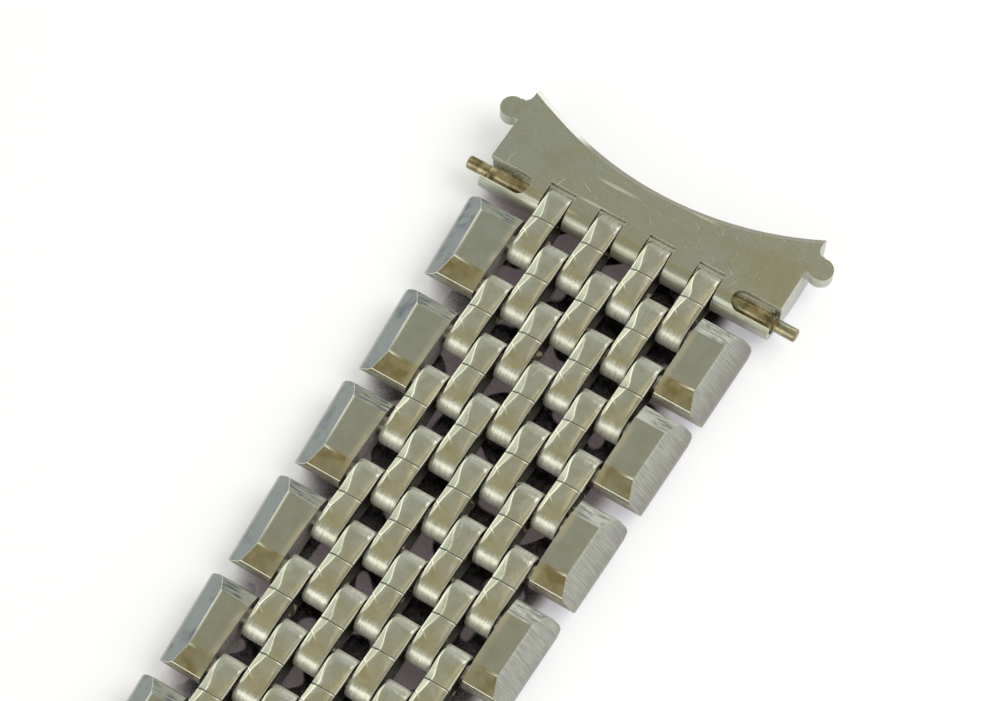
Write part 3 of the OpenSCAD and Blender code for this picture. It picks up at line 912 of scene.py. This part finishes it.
def bar_pieces(prefix, half, reach, y):
    """Tube and tips as profiles of (x, radius), turned about the bar's axis."""
    node = f"{prefix}_tube"
    tube = [(half + x, r) for x, r in TUBE]
    points, faces, _ = turned(tube + [(-x, r) for x, r in tube[::-1]], 36)
    mesh = mesh_from(f"{node}_dressed", points + (0, y, MID_Z), faces)
    put(f"{node}_dressed", mesh, bar_steel, node)
    tip = [(half + x, r) for x, r in TIP_INSIDE] + [(half + reach + x, r) for x, r in TIP_POINT]
    for hand, word in ((-1, "left"), (1, "right")):
        node = f"{prefix}_tip_{word}"
        points, faces, _ = turned(tip, 28)
        points = points * (hand, 1, 1) + (0, y, MID_Z)
        mesh = mesh_from(f"{node}_dressed", points, faces, sharp=50)
        put(f"{node}_dressed", mesh, bar_steel, node)


def half_coil(length, turns, steps=14, sides=5):
    """Right half of a coil spring. A wire's round section is carried along a helix about X:
    centre = (x, r cos a, r sin a),
    point = centre + wire radius x (cos b outwards + sin b along X)."""
    a = np.linspace(0, 2 * np.pi * turns, steps * turns + 1)[:, None]
    b = np.linspace(0, 2 * np.pi, sides, endpoint=False)
    x = WIRE_R + (length - 2 * WIRE_R) * a / a[-1] + WIRE_R * np.sin(b)
    r = SPRING_R + WIRE_R * np.cos(b)
    points = np.stack([x, r * np.cos(a), r * np.sin(a)], -1).reshape(-1, 3)
    ends = [list(range(sides)), list(range(len(points) - sides, len(points)))[::-1]]
    return points, grid_faces(len(a), sides).tolist() + ends


for prefix, (half, reach, y) in BARS.items():
    bar_pieces(prefix, half, reach, y)

for prefix, (length, turns, travel) in SPRINGS.items():
    node, y = f"{prefix}_spring", BARS[prefix][2]
    for hand, word in ((-1, "left"), (1, "right")):
        points, faces = half_coil(length, turns)
        points = points * (hand, 1, 1) + (0, y, MID_Z)
        mesh = mesh_from(f"{node}_{word}", points, faces)
        coil = put(f"{node}_{word}", mesh, spring_steel, node)
        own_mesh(coil)

# Folding clasp
# Pressed cover with length holes, two hinged blades that fold into it, and their pins. Its outer
# face is brushed along the bracelet, and the blades are left plain from the press.

cover_steel = steel(
    "cover_steel", colour=(0.60, 0.595, 0.51, 1), dark=(0.53, 0.515, 0.42, 1), rough=0.24,
    brush=(7, 0.5, 1), grain=0.5, waves=0.15,
)
blade_steel = steel(
    "blade_steel", colour=(0.62, 0.615, 0.53, 1), dark=(0.54, 0.53, 0.44, 1), rough=0.20,
    brush=(7, 0.5, 1), grain=0.25, waves=0.25,
)
CLASP = (
    # CAD node, material, slot, how far its edges are worn
    ("clasp_cover", cover_steel, "brushed_steel", 0.09),
    ("clasp_outer_blade", blade_steel, "brushed_steel", 0.06),
    ("clasp_inner_blade", blade_steel, "brushed_steel", 0.06),
    ("clasp_cover_pin", pin_steel, "polished_steel", 0.05),
    ("clasp_fold_pin", pin_steel, "polished_steel", 0.05),
    ("clasp_end_pin", pin_steel, "polished_steel", 0.05),
)
for node, metal, slot, wear in CLASP:
    dressed_copy(node, f"{node}_dressed", metal, wear)
